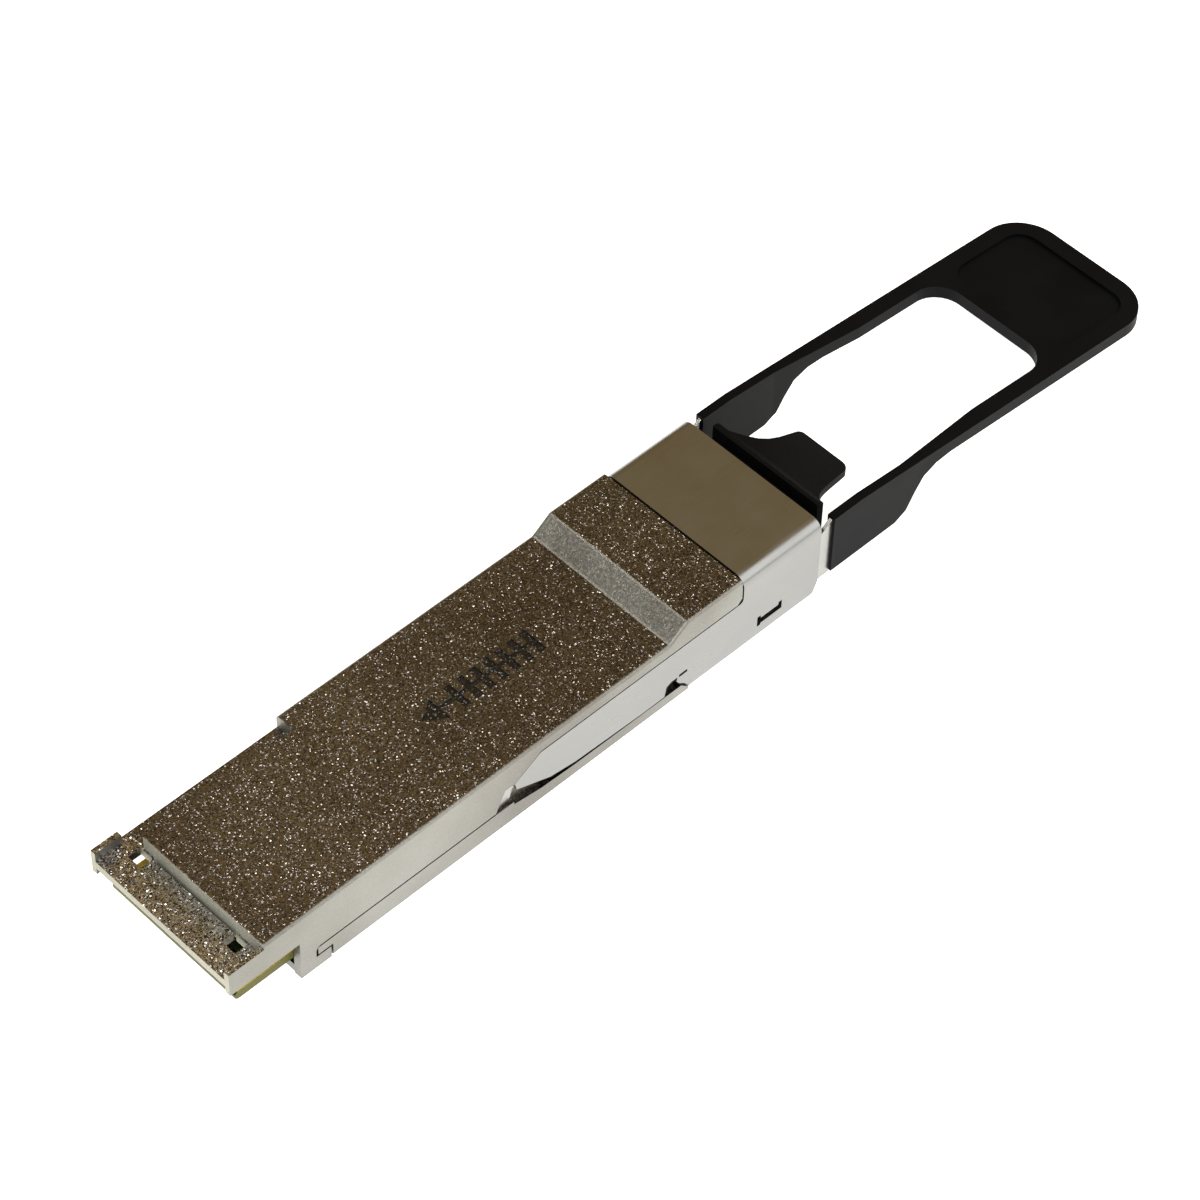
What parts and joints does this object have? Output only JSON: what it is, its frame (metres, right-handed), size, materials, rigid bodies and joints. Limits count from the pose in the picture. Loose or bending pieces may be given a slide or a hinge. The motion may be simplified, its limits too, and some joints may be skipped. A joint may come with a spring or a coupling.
{
  "type": "pluggable optical transceiver module",
  "caption": "Pluggable optical transceiver: die-cast shells, steel sleeve, sliding latch with black finger-loop pull tab, card edge and dust plug in the fibre port.",
  "frame": {"origin": "middle of the underside of the whole object's bounding box", "axes": "+X runs from the card-edge end to the pull tab, +Y is the left side seen from the card-edge end looking towards the tab, +Z is the heat-sink side"},
  "size_m": [0.1204, 0.0184, 0.0101],
  "materials": {
    "top_shell": "nickel-plated zinc die casting, fine blasted texture",
    "bottom_shell": "nickel-plated zinc die casting, fine blasted texture",
    "front_sleeve": "smooth cold-rolled stainless sheet",
    "shell_screws": "plain steel",
    "info_label": "blank matt polyester label",
    "paddle_card": "glass-epoxy card with green solder mask",
    "contact_pads": "hard gold plating on copper",
    "microcontroller": "moulded epoxy chip package",
    "voltage_regulator": "moulded epoxy chip package",
    "laser_driver": "bare chip with epoxy fill",
    "receiver_amplifier": "bare chip with epoxy fill",
    "chip_capacitors": "ceramic chip",
    "laser_array": "bare semiconductor die",
    "detector_array": "bare semiconductor die",
    "lens_block": "clear amber polyetherimide",
    "thermal_pad": "soft thermal silicone",
    "fibre_ribbon": "acrylate-coated ribbon",
    "ferrule": "filled engineering plastic",
    "ferrule_holder": "stamped steel",
    "guide_pins": "ground steel",
    "port_receptacle": "moulded black plastic",
    "emi_gasket": "conductive elastomer",
    "latch_slider": "stamped stainless sheet",
    "pull_tab": "fine-textured moulded elastomeric plastic",
    "return_spring_left": "spring wire",
    "return_spring_right": "spring wire",
    "dust_plug": "soft black moulded rubbery plastic"
  },
  "bodies": {
    "housing": {"top_shell": "top_shell", "bottom_shell": "bottom_shell", "front_sleeve": "front_sleeve", "shell_screws": "shell_screws", "info_label": "info_label", "paddle_card": "paddle_card", "contact_pads": "contact_pads", "microcontroller": "microcontroller", "voltage_regulator": "voltage_regulator", "laser_driver": "laser_driver", "receiver_amplifier": "receiver_amplifier", "chip_capacitors": "chip_capacitors", "laser_array": "laser_array", "detector_array": "detector_array", "lens_block": "lens_block", "thermal_pad": "thermal_pad", "fibre_ribbon": "fibre_ribbon", "ferrule": "ferrule", "ferrule_holder": "ferrule_holder", "guide_pins": "guide_pins", "port_receptacle": "port_receptacle", "emi_gasket": "emi_gasket", "return_spring_left": "return_spring_left", "return_spring_right": "return_spring_right"},
    "slider": {"latch_slider": "latch_slider", "pull_tab": "pull_tab"},
    "plug": {"dust_plug": "dust_plug"}
  },
  "joints": [
    {"name": "latch_pull", "type": "slide", "parent": "housing", "child": "slider", "axis": [1, 0, 0], "range_m": [0, 0.0022], "stiffness_N_per_m": 600, "springref_m": -0.003, "deforming": ["return_spring_left", "return_spring_right"]},
    {"name": "plug_out", "type": "slide", "parent": "housing", "child": "plug", "axis": [1, 0, 0], "range_m": [0, 0.008]}
  ]
}
